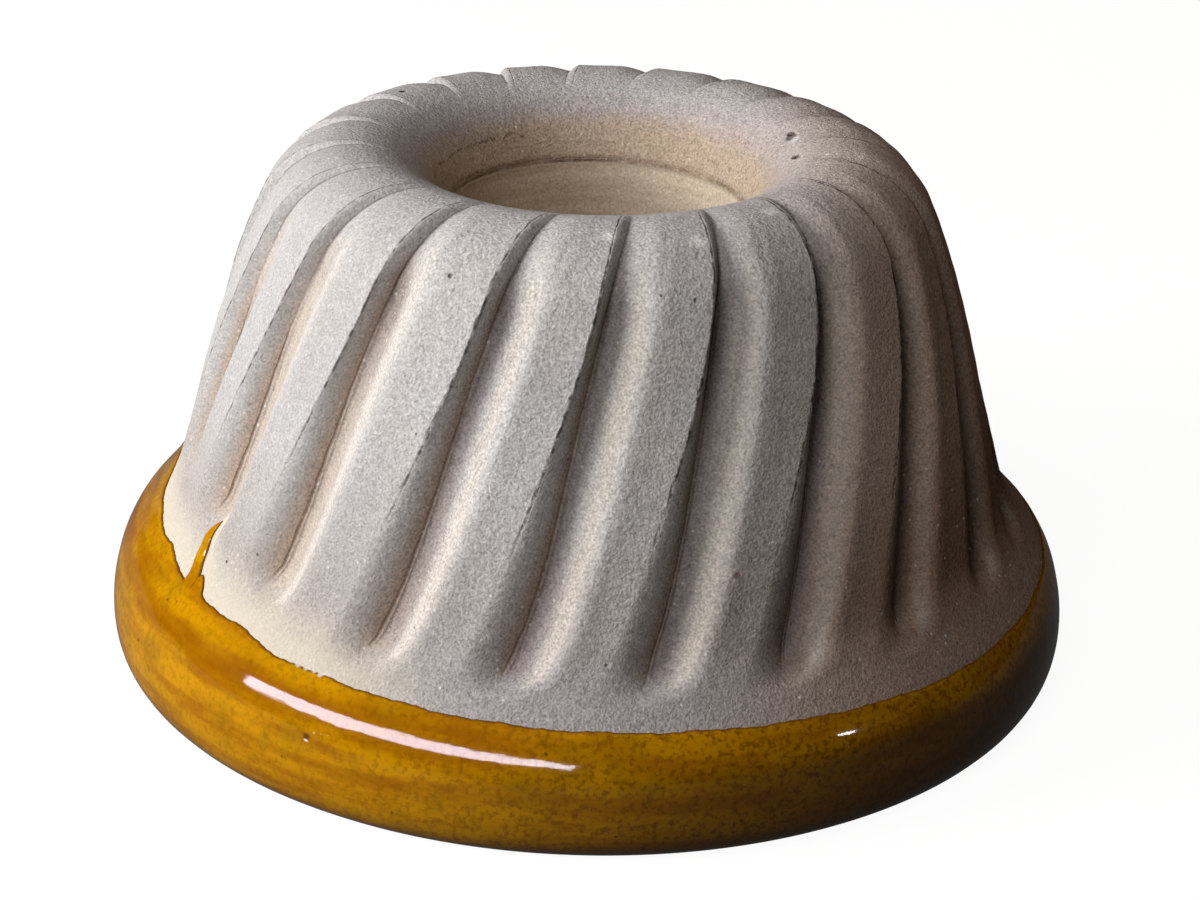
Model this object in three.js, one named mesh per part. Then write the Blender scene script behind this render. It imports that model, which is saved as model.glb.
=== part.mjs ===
// Kugelhopf mould of fired clay: a fluted ring-cake mould that stands upside down on its glazed rim.
// Millimetres, +Z up. The origin is on the axis, in the plane that the rim stands on.
// The mould's front is -Y. Azimuths are degrees from there, anticlockwise as seen from above.
import * as THREE from 'three';

// Rim, measured over its glaze
const RIM_RADIUS = 110;
const RIM_WIDEST_HEIGHT = 10;
const FOOT_OUTER_RADIUS = 102.5;
const FOOT_INNER_RADIUS = 96;
const SHOULDER_RADIUS = 107.8;
const SHOULDER_HEIGHT = 21.5;
const SHOULDER_ROUNDING = 3.5;
const GLAZE_LINE_RADIUS = 103.2;
const GLAZE_LINE_HEIGHT = 27.8;

// Wall, measured over the ribs
const WAIST_RADIUS = 94.5;
const WAIST_HEIGHT = 41;
const COLLAR_ROUNDING = 6;
const WALL_LEAN_LOW = 16;
const WALL_LEAN_HIGH = 25;
const WALL_THICKNESS = 7;

// Crown, a round ring over the top of the wall that turns down into the funnel
const MOULD_HEIGHT = 118.2;
const CROWN_CENTRE_RADIUS = 54.2;
const CROWN_SECTION_RADIUS = 22;
const SEAM_ANGLE = 163;

// Flutes, cut into the wall and over the crown, and pressed through to the cavity
const FLUTES = 20;
const FLUTE_DEPTH = 4.6;
const CAVITY_FLUTE_DEPTH = 3.2;
const FLUTE_AZIMUTH = 7.6;
const FLUTE_SLANT = 0.236;
const FLUTE_TIP_SWEEP = 3.4;
const FLUTE_TIP_SWEEP_LENGTH = 12;
const FLUTE_TIP_ABOVE_GLAZE_LINE = 4.5;
const FLUTE_TIP_LENGTH = 14;
const FLUTE_FADE_LENGTH = 4;
const FLUTE_FADE_ANGLE = 119;

// One flute's section, as shares of its pitch and of its depth: ridge, rib edge, groove bottom, scooped slope
// The facet from rib edge to groove bottom is wide at the waist and narrow at the crown
const RIB_EDGE_PLACE_LOW = 0.42;
const RIB_EDGE_PLACE_HIGH = 0.57;
const GROOVE_BOTTOM_PLACE = 0.64;
const SCOOP_PLACE = 0.8;
const SCOOP_DEPTH = 0.75;
const FLUTE_SECTION = [
  { low: 0, high: 0, depth: 0 },
  { low: RIB_EDGE_PLACE_LOW, high: RIB_EDGE_PLACE_HIGH, depth: 0 },
  { low: GROOVE_BOTTOM_PLACE, high: GROOVE_BOTTOM_PLACE, depth: 1 },
  { low: SCOOP_PLACE, high: SCOOP_PLACE, depth: SCOOP_DEPTH },
];

// Chimney, a thrown tube luted into the crown
const CHIMNEY_WALL = 6;
const CHIMNEY_END_RADIUS = 21;
const CHIMNEY_END_HEIGHT = 10;
const CHIMNEY_BELLY = 3;
const LUTING_SLIP = 0.8;
const LUTING_COIL_LAP = 8;
const LUTING_COIL_BULGE = 1.6;

// Glaze, one coat from the glaze line round the rim, through the cavity and down the chimney
const GLAZE = 0.7;
const GLAZE_EDGE = 0.35;
const RIM_GLAZE_INSIDE_HEIGHT = 7;
const GLAZE_LINE_TILT = 3;
const GLAZE_RUN_AZIMUTH = -59;
const GLAZE_RUN_HEIGHT = 13;
const GLAZE_CLIMB_AZIMUTH = -84;
const GLAZE_CLIMB_HEIGHT = 11;
const GLAZE_CLIMB_WIDTH = 14;

// Rows of the wall, as shares of the way from the glaze's edge to the crown: close together at the flutes' tips
const WALL_ROWS = [0.06, 0.12, 0.18, 0.27, 0.4, 0.55, 0.7, 0.85];

const PITCH = 360 / FLUTES;
const COLUMNS = FLUTES * FLUTE_SECTION.length;
const LEAN_STEPS = 16;
const { clamp, lerp, smoothstep, degToRad: radians, radToDeg: degrees } = THREE.MathUtils;

// Even steps from one value to another, both ends included
function spread(from, to, steps) {
  return Array.from({ length: steps + 1 }, (_, i) => lerp(from, to, i / steps));
}

// Outer face of the clay as one path in (radius, height), from the foot's inner edge to the luting seam
function clayProfile() {
  const point = (r, z) => new THREE.Vector2(r, z);
  const leaning = (from, lean, length) =>
    point(from.x - Math.sin(radians(lean)) * length, from.y + Math.cos(radians(lean)) * length);
  const clayRim = RIM_RADIUS - GLAZE;
  const footInner = point(FOOT_INNER_RADIUS, GLAZE);
  const footOuter = point(FOOT_OUTER_RADIUS, GLAZE);
  const widest = point(clayRim, RIM_WIDEST_HEIGHT);
  const rimSide = point(clayRim, (RIM_WIDEST_HEIGHT + SHOULDER_HEIGHT) / 2);
  const shoulder = point(SHOULDER_RADIUS - GLAZE, SHOULDER_HEIGHT);
  const shoulderTurn = shoulder.clone().sub(rimSide).setLength(SHOULDER_ROUNDING).add(shoulder);
  const glazeLine = point(GLAZE_LINE_RADIUS, GLAZE_LINE_HEIGHT);
  const waist = point(WAIST_RADIUS, WAIST_HEIGHT);
  const crownCentre = point(CROWN_CENTRE_RADIUS, MOULD_HEIGHT - CROWN_SECTION_RADIUS);
  const crownStart = leaning(crownCentre, WALL_LEAN_HIGH - 90, CROWN_SECTION_RADIUS);
  const reach = waist.distanceTo(crownStart) / 3;
  const wallLow = leaning(waist, WALL_LEAN_LOW, reach);
  const wallHigh = leaning(crownStart, WALL_LEAN_HIGH, -reach);
  const path = new THREE.CurvePath();
  path.add(new THREE.LineCurve(footInner, footOuter));
  path.add(new THREE.QuadraticBezierCurve(footOuter, point(clayRim, GLAZE), widest));
  path.add(new THREE.QuadraticBezierCurve(widest, rimSide, shoulder));
  path.add(new THREE.QuadraticBezierCurve(shoulder, shoulderTurn, glazeLine));
  path.add(new THREE.QuadraticBezierCurve(glazeLine, leaning(waist, WALL_LEAN_LOW, -COLLAR_ROUNDING), waist));
  path.add(new THREE.CubicBezierCurve(waist, wallLow, wallHigh, crownStart));
  path.add(new THREE.EllipseCurve(
    crownCentre.x, crownCentre.y, CROWN_SECTION_RADIUS, CROWN_SECTION_RADIUS,
    radians(WALL_LEAN_HIGH), radians(SEAM_ANGLE)));
  return path;
}

const PROFILE = clayProfile();
const PROFILE_LENGTH = PROFILE.getLength();
const [AT_FOOT, AT_WIDEST, AT_SHOULDER, AT_GLAZE_LINE, AT_WAIST, AT_CROWN, AT_SEAM] = PROFILE.getCurveLengths();
const AT_FLUTE_TIP = AT_GLAZE_LINE + FLUTE_TIP_ABOVE_GLAZE_LINE;
const AT_CROWN_TOP = AT_CROWN + radians(90 - WALL_LEAN_HIGH) * CROWN_SECTION_RADIUS;
const AT_FLUTE_END = AT_CROWN + radians(FLUTE_FADE_ANGLE - WALL_LEAN_HIGH) * CROWN_SECTION_RADIUS;

// Point, direction and outward normal of the profile at a length along it
function profileAt(length) {
  const share = clamp(length / PROFILE_LENGTH, 0, 1);
  const along = PROFILE.getTangent(share);
  return { at: PROFILE.getPoint(share), along, normal: new THREE.Vector2(along.y, -along.x) };
}

// Share of full fluting at a length along the profile: it scoops in at the lower tip and fades over the crown
function fluting(length) {
  const tip = smoothstep(length, AT_FLUTE_TIP, AT_FLUTE_TIP + FLUTE_TIP_LENGTH);
  return Math.sin(tip * Math.PI / 2) * (1 - smoothstep(length, AT_CROWN - FLUTE_FADE_LENGTH, AT_FLUTE_END));
}

// Turn of the flutes at a length along the profile: a steady slant, with a sharper sweep at the lower tip
// The slant is the step sideways for a step along the profile, so the lean sums it over the radius
function twist(length) {
  const climb = clamp(length, AT_FLUTE_TIP, AT_FLUTE_END) - AT_FLUTE_TIP;
  const step = climb / LEAN_STEPS;
  const radiusAt = (count) => profileAt(AT_FLUTE_TIP + count * step).at.x;
  const stepMiddles = spread(0.5, LEAN_STEPS - 0.5, LEAN_STEPS - 1);
  const lean = stepMiddles.reduce((sum, count) => sum + FLUTE_SLANT * step / radiusAt(count), 0);
  return degrees(lean) - FLUTE_TIP_SWEEP * Math.exp(-climb / FLUTE_TIP_SWEEP_LENGTH);
}

// Place of a column in its flute's section, as a share of the pitch, at a length along the profile
function sectionPlace(column, length) {
  const { low, high } = FLUTE_SECTION[column % FLUTE_SECTION.length];
  return lerp(low, high, smoothstep(length, AT_WAIST, AT_CROWN));
}

// Azimuth of a column: evenly spaced on turned stretches, gathered to the flute's section where it is fluted
function columnAzimuth(column, length) {
  const step = column % FLUTE_SECTION.length;
  const flute = Math.floor(column / FLUTE_SECTION.length);
  const released = smoothstep(length, AT_CROWN_TOP, AT_FLUTE_END);
  const gathered = smoothstep(length, AT_SHOULDER, AT_FLUTE_TIP) * (1 - released);
  const place = lerp(step / FLUTE_SECTION.length, sectionPlace(column, length), gathered);
  return FLUTE_AZIMUTH + twist(length) + PITCH * (flute + place - GROOVE_BOTTOM_PLACE);
}

// A ring is one section point for each column: { r, z, azimuth }
function ring(pointOfColumn) {
  return Array.from({ length: COLUMNS }, (_, column) => pointOfColumn(column));
}

// Ring on the outer face of the clay, at a length along the profile that may vary from column to column
function outerRing(lengthOfColumn) {
  return ring((column) => {
    const length = lengthOfColumn(column);
    const { at, normal } = profileAt(length);
    const cut = FLUTE_SECTION[column % FLUTE_SECTION.length].depth * FLUTE_DEPTH * fluting(length);
    return { r: at.x - normal.x * cut, z: at.y - normal.y * cut, azimuth: columnAzimuth(column, length) };
  });
}

// Ring on the cavity face of the wall and crown, where the grooves stand out as soft ribs
function cavityRing(length) {
  const { at, normal } = profileAt(length);
  return ring((column) => {
    const place = sectionPlace(column, length);
    const swell = 0.5 + 0.5 * Math.cos(2 * Math.PI * (place - GROOVE_BOTTOM_PLACE));
    const inset = WALL_THICKNESS + CAVITY_FLUTE_DEPTH * swell * fluting(length);
    return { r: at.x - normal.x * inset, z: at.y - normal.y * inset, azimuth: columnAzimuth(column, length) };
  });
}

// Ring turned true, with its columns where they lie at a length along the profile
function turnedRing(point, length) {
  return ring((column) => ({ r: point.x, z: point.y, azimuth: columnAzimuth(column, length) }));
}

// Closed body of a ring-shaped piece: its section's rings in anticlockwise order, joined round
// Each cell is split along its shorter diagonal, so that two pieces that share rings also share triangles
function ringBody(rings) {
  const positions = [];
  for (const points of rings) {
    for (const { r, z, azimuth } of points) {
      positions.push(r * Math.sin(radians(azimuth)), -r * Math.cos(radians(azimuth)), z);
    }
  }
  const corner = (index) => new THREE.Vector3().fromArray(positions, index * 3);
  const triangles = [];
  for (let row = 0; row < rings.length; row += 1) {
    const next = (row + 1) % rings.length;
    for (let column = 0; column < COLUMNS; column += 1) {
      const beside = (column + 1) % COLUMNS;
      const a = row * COLUMNS + column;
      const b = row * COLUMNS + beside;
      const c = next * COLUMNS + beside;
      const d = next * COLUMNS + column;
      if (corner(a).distanceTo(corner(c)) < corner(b).distanceTo(corner(d))) {
        triangles.push(a, b, c, a, c, d);
      } else {
        triangles.push(a, b, d, b, c, d);
      }
    }
  }
  const geometry = new THREE.BufferGeometry();
  geometry.setAttribute('position', new THREE.Float32BufferAttribute(positions, 3));
  geometry.setIndex(triangles);
  geometry.computeVertexNormals();
  return geometry;
}

// Angle from one azimuth to another, the short way round and without sign
function turnBetween(from, to) {
  return Math.abs(THREE.MathUtils.euclideanModulo(to - from + 180, 360) - 180);
}

// The glaze ran to one point in firing, at the column nearest to the run
const RIM_AZIMUTHS = ring((column) => columnAzimuth(column, AT_GLAZE_LINE));
const RUN_COLUMN = RIM_AZIMUTHS.reduce((best, azimuth, column) =>
  turnBetween(azimuth, GLAZE_RUN_AZIMUTH) < turnBetween(RIM_AZIMUTHS[best], GLAZE_RUN_AZIMUTH) ? column : best, 0);

// Length along the profile where the glaze ends: a dipped line, a little aslant, with a broad climb and the run
function glazeEdge(column) {
  const azimuth = RIM_AZIMUTHS[column];
  const slant = -GLAZE_LINE_TILT * Math.sin(radians(azimuth));
  const near = clamp(1 - turnBetween(azimuth, GLAZE_CLIMB_AZIMUTH) / GLAZE_CLIMB_WIDTH, 0, 1);
  const climb = GLAZE_CLIMB_HEIGHT * smoothstep(near, 0, 1);
  const run = column === RUN_COLUMN ? GLAZE_RUN_HEIGHT : 0;
  return AT_GLAZE_LINE + slant + climb + run;
}

// Outer face: the rim up to the glaze's edge, then the bare clay of collar, wall, crown and funnel lip
const rimLengths = [0, ...spread(AT_FOOT, AT_WIDEST, 2), ...spread(AT_WIDEST, AT_SHOULDER, 2).slice(1)];
const rimRings = [
  ...rimLengths.map((length) => outerRing(() => length)),
  outerRing((column) => lerp(AT_SHOULDER, glazeEdge(column), 0.5)),
  outerRing(glazeEdge),
];
const wallRings = WALL_ROWS.map((share) => outerRing((column) => lerp(glazeEdge(column), AT_CROWN, share)));
const crownLengths = [...spread(AT_CROWN, AT_CROWN_TOP, 4), ...spread(AT_CROWN_TOP, AT_SEAM, 4).slice(1)];
const crownRings = crownLengths.map((length) => outerRing(() => length));
const seamRing = crownRings[crownRings.length - 1];

// Cavity face: crown and wall at one thickness behind the outer face, then a plain flare to the foot
const COIL_LAP_ON_PROFILE = LUTING_COIL_LAP * CROWN_SECTION_RADIUS / (CROWN_SECTION_RADIUS - WALL_THICKNESS);
const lipRing = cavityRing(AT_SEAM);
const cavityRings = [
  ...spread(AT_SEAM - COIL_LAP_ON_PROFILE, AT_CROWN, 3),
  ...spread(AT_CROWN, AT_WAIST, 4).slice(1),
].map(cavityRing);
const waist = profileAt(AT_WAIST);
const waistInside = waist.at.clone().addScaledVector(waist.normal, -WALL_THICKNESS);
const footInside = profileAt(0).at;
const joinShare = (RIM_GLAZE_INSIDE_HEIGHT - GLAZE) / (waistInside.y - GLAZE);
const glazeJoinRing = turnedRing(footInside.clone().lerp(waistInside, joinShare), 0);

// Chimney: its bore carries on from the funnel lip, across the luting slip, and narrows to its lower end
const seam = profileAt(AT_SEAM);
const tubeTop = seam.at.clone().addScaledVector(seam.along, LUTING_SLIP);
const tubeEnd = new THREE.Vector2(CHIMNEY_END_RADIUS, CHIMNEY_END_HEIGHT);
const tubeBelly = tubeTop.clone().lerp(tubeEnd, 0.5).add(new THREE.Vector2(CHIMNEY_BELLY, 0));
const bore = new THREE.QuadraticBezierCurve(tubeTop, tubeBelly, tubeEnd);

// Point on the chimney's cavity face, one chimney wall out from the bore
function chimneyOutside(share) {
  const along = bore.getTangentAt(share);
  return bore.getPointAt(share).addScaledVector(new THREE.Vector2(-along.y, along.x), CHIMNEY_WALL);
}

const tubeTopOutside = tubeTop.clone().addScaledVector(seam.normal, -CHIMNEY_WALL);
const coilDepth = Math.max(WALL_THICKNESS, CHIMNEY_WALL) + LUTING_COIL_BULGE;
const coilRidge = tubeTop.clone().addScaledVector(seam.normal, -coilDepth);
const coilLapShare = LUTING_COIL_LAP / bore.getLength();
const boreRings = spread(0, 1, 3).map((share) => turnedRing(bore.getPointAt(share), AT_SEAM));
const boreEndRing = boreRings[boreRings.length - 1];
const chimneyRings = spread(coilLapShare, 1, 2).map((share) => turnedRing(chimneyOutside(share), AT_SEAM));
const tubeTopOutsideRing = turnedRing(tubeTopOutside, AT_SEAM);
const coilRidgeRing = turnedRing(coilRidge, AT_SEAM);

// The glazed face of the clay in one run: rim, foot, cavity, luting coil, chimney and the bore's lower edge
const glazedRings = [
  ...rimRings.slice().reverse(),
  glazeJoinRing,
  ...cavityRings.slice().reverse(),
  coilRidgeRing,
  ...chimneyRings,
  boreEndRing,
];

// Open face of the coat: each column's section set off by the glaze's thickness, mitred at its corners
function coatRing(index) {
  const last = glazedRings.length - 1;
  const thickness = index === 0 || index === last ? GLAZE_EDGE : GLAZE;
  const normalOf = (from, to) => new THREE.Vector2(from.z - to.z, to.r - from.r).normalize();
  return ring((column) => {
    const here = glazedRings[index][column];
    const before = index === 0 ? null : normalOf(glazedRings[index - 1][column], here);
    const after = index === last ? null : normalOf(here, glazedRings[index + 1][column]);
    const first = before ?? after;
    const mitre = first.clone().add(after ?? before).normalize();
    mitre.multiplyScalar(thickness / mitre.dot(first));
    return { r: here.r + mitre.x, z: here.z + mitre.y, azimuth: here.azimuth };
  });
}

const coatRings = glazedRings.map((_, index) => coatRing(index));
const JOIN_IN_RIM = glazedRings.indexOf(glazeJoinRing);
const JOIN_ON_COIL = glazedRings.indexOf(coilRidgeRing);

// Part of the coat between two rings of the glazed face
function coatBody(from, to) {
  const clayFace = glazedRings.slice(from, to + 1);
  const openFace = coatRings.slice(from, to + 1).reverse();
  return ringBody([...clayFace, ...openFace]);
}

const CLAY = { color: 0xbcb0a3, roughness: 0.92, metalness: 0 };
const AMBER_GLAZE = { color: 0xa8660f, roughness: 0.12, metalness: 0 };

const mould = new THREE.Group();
mould.name = 'kugelhopf_mould';

function addPiece(name, geometry, finish) {
  const piece = new THREE.Mesh(geometry, new THREE.MeshStandardMaterial(finish));
  piece.name = name;
  mould.add(piece);
}

addPiece('fluted_shell', ringBody([
  ...rimRings, ...wallRings, ...crownRings, lipRing, ...cavityRings, glazeJoinRing]), CLAY);
addPiece('chimney_tube', ringBody([
  ...boreRings, ...chimneyRings.slice().reverse(), tubeTopOutsideRing]), CLAY);
addPiece('luting_coil', ringBody([
  seamRing, boreRings[0], tubeTopOutsideRing, chimneyRings[0], coilRidgeRing, cavityRings[0], lipRing]), CLAY);
addPiece('rim_glaze', coatBody(0, JOIN_IN_RIM), AMBER_GLAZE);
addPiece('cavity_glaze', coatBody(JOIN_IN_RIM, JOIN_ON_COIL), AMBER_GLAZE);
addPiece('chimney_glaze', coatBody(JOIN_ON_COIL, glazedRings.length - 1), AMBER_GLAZE);

export default mould;
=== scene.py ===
import math

import bpy
import numpy as np
from mathutils import Matrix, Vector


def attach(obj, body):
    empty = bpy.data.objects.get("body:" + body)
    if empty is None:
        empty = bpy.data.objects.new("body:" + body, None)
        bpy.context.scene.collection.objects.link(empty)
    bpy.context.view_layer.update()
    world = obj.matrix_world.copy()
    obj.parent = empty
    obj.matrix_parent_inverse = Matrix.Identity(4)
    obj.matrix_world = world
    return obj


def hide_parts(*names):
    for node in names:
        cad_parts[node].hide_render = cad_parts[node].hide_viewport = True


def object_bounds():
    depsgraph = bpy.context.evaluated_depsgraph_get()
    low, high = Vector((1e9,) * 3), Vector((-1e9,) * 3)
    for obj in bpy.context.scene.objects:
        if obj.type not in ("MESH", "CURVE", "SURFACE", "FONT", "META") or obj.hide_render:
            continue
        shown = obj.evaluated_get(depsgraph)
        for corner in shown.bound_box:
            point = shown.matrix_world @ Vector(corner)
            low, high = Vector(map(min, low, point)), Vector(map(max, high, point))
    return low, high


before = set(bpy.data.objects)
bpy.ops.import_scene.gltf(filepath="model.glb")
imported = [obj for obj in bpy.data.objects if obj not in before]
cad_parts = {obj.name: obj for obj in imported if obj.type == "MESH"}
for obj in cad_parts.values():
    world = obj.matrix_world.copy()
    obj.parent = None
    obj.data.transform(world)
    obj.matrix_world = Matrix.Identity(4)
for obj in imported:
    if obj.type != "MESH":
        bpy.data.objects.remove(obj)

CAD_LOW, CAD_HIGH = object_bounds()

# Fluted shell
# The mould's thrown wall in one piece of clay, with its rim, its round crown and the lip of its funnel.
# Bare sandy clay, fired. The flutes were cut into the soft wall with a tool, by hand, from rim to funnel.

RIM_RADIUS = CAD_HIGH[0]
MOULD_HEIGHT = CAD_HIGH[2]
GLAZE = 0.0007
RIM_WIDEST_HEIGHT = 0.010
FOOT_INNER_RADIUS = 0.096
FOOT_OUTER_RADIUS = 0.1025
SHOULDER_RADIUS = 0.1078
SHOULDER_HEIGHT = 0.0215
SHOULDER_ROUNDING = 0.0035
GLAZE_LINE = (0.1032, 0.0278)
WAIST = (0.0945, 0.041)
COLLAR_ROUNDING = 0.006
WALL_LEAN_LOW = 16
WALL_LEAN_HIGH = 25
WALL_THICKNESS = 0.007
CROWN_CENTRE_RADIUS = 0.0542
CROWN_SECTION_RADIUS = 0.022
SEAM_ANGLE = 163

FLUTES = 20
PITCH = 360 / FLUTES
FLUTE_DEPTH = 0.0046
CAVITY_FLUTE_DEPTH = 0.0032
FLUTE_AZIMUTH = 7.6
FLUTE_SLANT = 0.236
FLUTE_TIP_SWEEP = 2.8
FLUTE_TIP_SWEEP_LENGTH = 0.012
FLUTE_TIP_ABOVE_GLAZE_LINE = 0.0045
FLUTE_TIP_LENGTH = 0.013
LEFT_TIPS_RISE = 0.0105
LEFT_TIPS_FROM = (28, 66)
LEFT_TIPS_TO = (110, 150)
LEFT_CROWN_EASE = 0.45
LEFT_EASE_FROM = 0.085
SLOPE_TIP_LENGTH = 0.006
FLUTE_TIP_WIDTH = 0.6
FLUTE_FADE_LENGTH = 0.004
FLUTE_FADE_ANGLE = 119
FACET_SHARE_LOW = 0.29
FACET_SHARE_HIGH = 0.07
FACET_SHARE_CROWN = 0.12
SLOPE_SHARE_LOW = 0.37
SLOPE_SHARE_HIGH = 0.45
SHARES_FROM = 0.058
SHARES_TO = 0.118


def smooth_step(value, low, high):
    """0 below low, 1 above high and a cubic ease, 3t^2 - 2t^3, between them."""
    t = np.clip((value - low) / (high - low), 0, 1)
    return t * t * (3 - 2 * t)


def bell(value, centre, width):
    """Bell curve of height 1: e to the minus square of the distance from the centre, in widths."""
    return np.exp(-((value - centre) / width) ** 2)


def bezier(*points, count=160):
    """Bezier curve: its points weighted by the Bernstein polynomials of an even parameter."""
    t = np.linspace(0, 1, count)[:, None]
    order = len(points) - 1
    return sum(math.comb(order, k) * t ** k * (1 - t) ** (order - k) * np.array(point)
               for k, point in enumerate(points))


def leaning(start, lean, length):
    """Point at a length from start, along a line that leans from upright to the axis by some degrees."""
    angle = math.radians(lean)
    return np.array(start) + length * np.array([-math.sin(angle), math.cos(angle)])


def lengths_along(path):
    """Length from a path's start to each of its points: the running sum of its steps."""
    steps = np.linalg.norm(np.diff(path, axis=0), axis=1)
    return np.concatenate([[0], np.cumsum(steps)])


def outward(path, along):
    """Unit normals of a path in (radius, height): its direction turned a quarter turn clockwise."""
    slope = np.gradient(path, along, axis=0)
    normal = np.stack([slope[:, 1], -slope[:, 0]], axis=1)
    return normal / np.linalg.norm(normal, axis=1, keepdims=True)


clay_rim = RIM_RADIUS - GLAZE
foot_inner = np.array([FOOT_INNER_RADIUS, GLAZE])
foot_outer = np.array([FOOT_OUTER_RADIUS, GLAZE])
widest = np.array([clay_rim, RIM_WIDEST_HEIGHT])
rim_side = np.array([clay_rim, (RIM_WIDEST_HEIGHT + SHOULDER_HEIGHT) / 2])
shoulder = np.array([SHOULDER_RADIUS - GLAZE, SHOULDER_HEIGHT])
shoulder_way = (shoulder - rim_side) / np.linalg.norm(shoulder - rim_side)
shoulder_turn = shoulder + SHOULDER_ROUNDING * shoulder_way
crown_centre = np.array([CROWN_CENTRE_RADIUS, MOULD_HEIGHT - CROWN_SECTION_RADIUS])
crown_start = leaning(crown_centre, WALL_LEAN_HIGH - 90, CROWN_SECTION_RADIUS)
wall_reach = np.linalg.norm(crown_start - WAIST) / 3
crown_turn = np.radians(np.linspace(WALL_LEAN_HIGH, SEAM_ANGLE, 300))[:, None]
profile_parts = [
    bezier(foot_inner, foot_outer),
    bezier(foot_outer, (clay_rim, GLAZE), widest),
    bezier(widest, rim_side, shoulder),
    bezier(shoulder, shoulder_turn, GLAZE_LINE),
    bezier(GLAZE_LINE, leaning(WAIST, WALL_LEAN_LOW, -COLLAR_ROUNDING), WAIST),
    bezier(WAIST, leaning(WAIST, WALL_LEAN_LOW, wall_reach),
           leaning(crown_start, WALL_LEAN_HIGH, -wall_reach), crown_start),
    crown_centre + CROWN_SECTION_RADIUS * np.hstack([np.cos(crown_turn), np.sin(crown_turn)]),
]
(AT_FOOT, AT_WIDEST, AT_SHOULDER, AT_GLAZE_LINE, AT_WAIST, AT_CROWN, AT_SEAM) = np.cumsum(
    [lengths_along(part)[-1] for part in profile_parts])
AT_FLUTE_TIP = AT_GLAZE_LINE + FLUTE_TIP_ABOVE_GLAZE_LINE
AT_CROWN_TOP = AT_CROWN + math.radians(90 - WALL_LEAN_HIGH) * CROWN_SECTION_RADIUS
AT_FLUTE_END = AT_CROWN + math.radians(FLUTE_FADE_ANGLE - WALL_LEAN_HIGH) * CROWN_SECTION_RADIUS
CLAY_FACE = np.concatenate([profile_parts[0]] + [part[1:] for part in profile_parts[1:]])
CLAY_ALONG = lengths_along(CLAY_FACE)
CLAY_NORMAL = outward(CLAY_FACE, CLAY_ALONG)
CLAY = (CLAY_FACE, CLAY_NORMAL, CLAY_ALONG)
fluted_part = (CLAY_ALONG > AT_FLUTE_TIP) & (CLAY_ALONG < AT_FLUTE_END)
FLUTE_LEAN = np.degrees(FLUTE_SLANT * np.cumsum(np.gradient(CLAY_ALONG) / CLAY_FACE[:, 0] * fluted_part))


def off_face(face, normal, along, length, rise):
    """Radius and height at lengths along a face, set off from it by a rise along its normal."""
    radius = np.interp(length, along, face[:, 0]) + rise * np.interp(length, along, normal[:, 0])
    height = np.interp(length, along, face[:, 1]) + rise * np.interp(length, along, normal[:, 1])
    return radius, height


def fluting(length, azimuth=0):
    """Share of full fluting: a sine of a smooth step at the lower tip, and a smooth fade over the crown.

    On the left, a smooth step of the azimuth up and a longer one down behind, the tips stand higher and
    the grooves are shallower near the crown.
    """
    turn = (azimuth + 180) % 360 - 180
    on_left = smooth_step(-turn, *LEFT_TIPS_FROM) * (1 - smooth_step(-turn, *LEFT_TIPS_TO))
    raised = LEFT_TIPS_RISE * on_left
    eased = 1 - LEFT_CROWN_EASE * on_left * smooth_step(length, LEFT_EASE_FROM, AT_CROWN)
    tip = smooth_step(length, AT_FLUTE_TIP + raised, AT_FLUTE_TIP + raised + FLUTE_TIP_LENGTH)
    fade = 1 - smooth_step(length, AT_CROWN - FLUTE_FADE_LENGTH, AT_FLUTE_END)
    return np.sin(tip * np.pi / 2) * eased * fade


# Hand-cut flutes stray from an even pitch, by degrees, in order round the mould from the front
FLUTE_STRAY_LOW = np.array([0.7, 0.4, 1.1, 2.6, 1.4, 0.6, -0.4, -0.9, 0.3, 0.7,
                            -0.4, -0.8, 0.2, 0.9, 0.3, -0.2, -0.4, -0.5, 0.8, 1.0])
FLUTE_STRAY_HIGH = np.array([-0.1, 0.8, 1.6, 0.9, 0.6, -0.2, -0.8, -0.5, 0.4, 0.9,
                             0.1, -0.6, -0.3, 0.5, 0.8, 0.3, -1.0, -1.6, 0.0, -0.4])


def flute_lines(length):
    """Azimuths, in degrees, of four lines of each flute: the ridge before it, rib edge, groove bottom, ridge.

    The groove bottom leans by a steady slant over the radius, and sweeps back at its lower tip by an
    exponential. Rib edge and ridge lie at shares of the pitch from it, and the ridge's share opens from the
    tip by a quarter circle.
    """
    climb = np.clip(length, AT_FLUTE_TIP, AT_FLUTE_END) - AT_FLUTE_TIP
    high = smooth_step(length, SHARES_FROM, SHARES_TO)
    sweep = FLUTE_TIP_SWEEP * np.exp(-climb / FLUTE_TIP_SWEEP_LENGTH)
    lean = np.interp(length, CLAY_ALONG, FLUTE_LEAN) - sweep
    facet = FACET_SHARE_LOW + (FACET_SHARE_HIGH - FACET_SHARE_LOW) * high
    facet = facet + (FACET_SHARE_CROWN - FACET_SHARE_HIGH) * smooth_step(length, AT_CROWN, AT_CROWN_TOP)
    slope = SLOPE_SHARE_LOW + (SLOPE_SHARE_HIGH - SLOPE_SHARE_LOW) * high
    opening = np.sqrt(1 - (1 - np.clip(climb / SLOPE_TIP_LENGTH, 0, 1)) ** 2)
    slope = slope * np.clip(opening, FLUTE_TIP_WIDTH, 1)
    stray = FLUTE_STRAY_LOW + (FLUTE_STRAY_HIGH - FLUTE_STRAY_LOW) * high[..., None]
    bottom = FLUTE_AZIMUTH + lean[..., None] + PITCH * np.arange(FLUTES) + stray
    edge = bottom - PITCH * facet[..., None]
    ridge = bottom + PITCH * slope[..., None]
    before = np.roll(ridge, 1, axis=-1) - 360 * (np.arange(FLUTES) == 0)
    return before, edge, bottom, ridge


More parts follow.
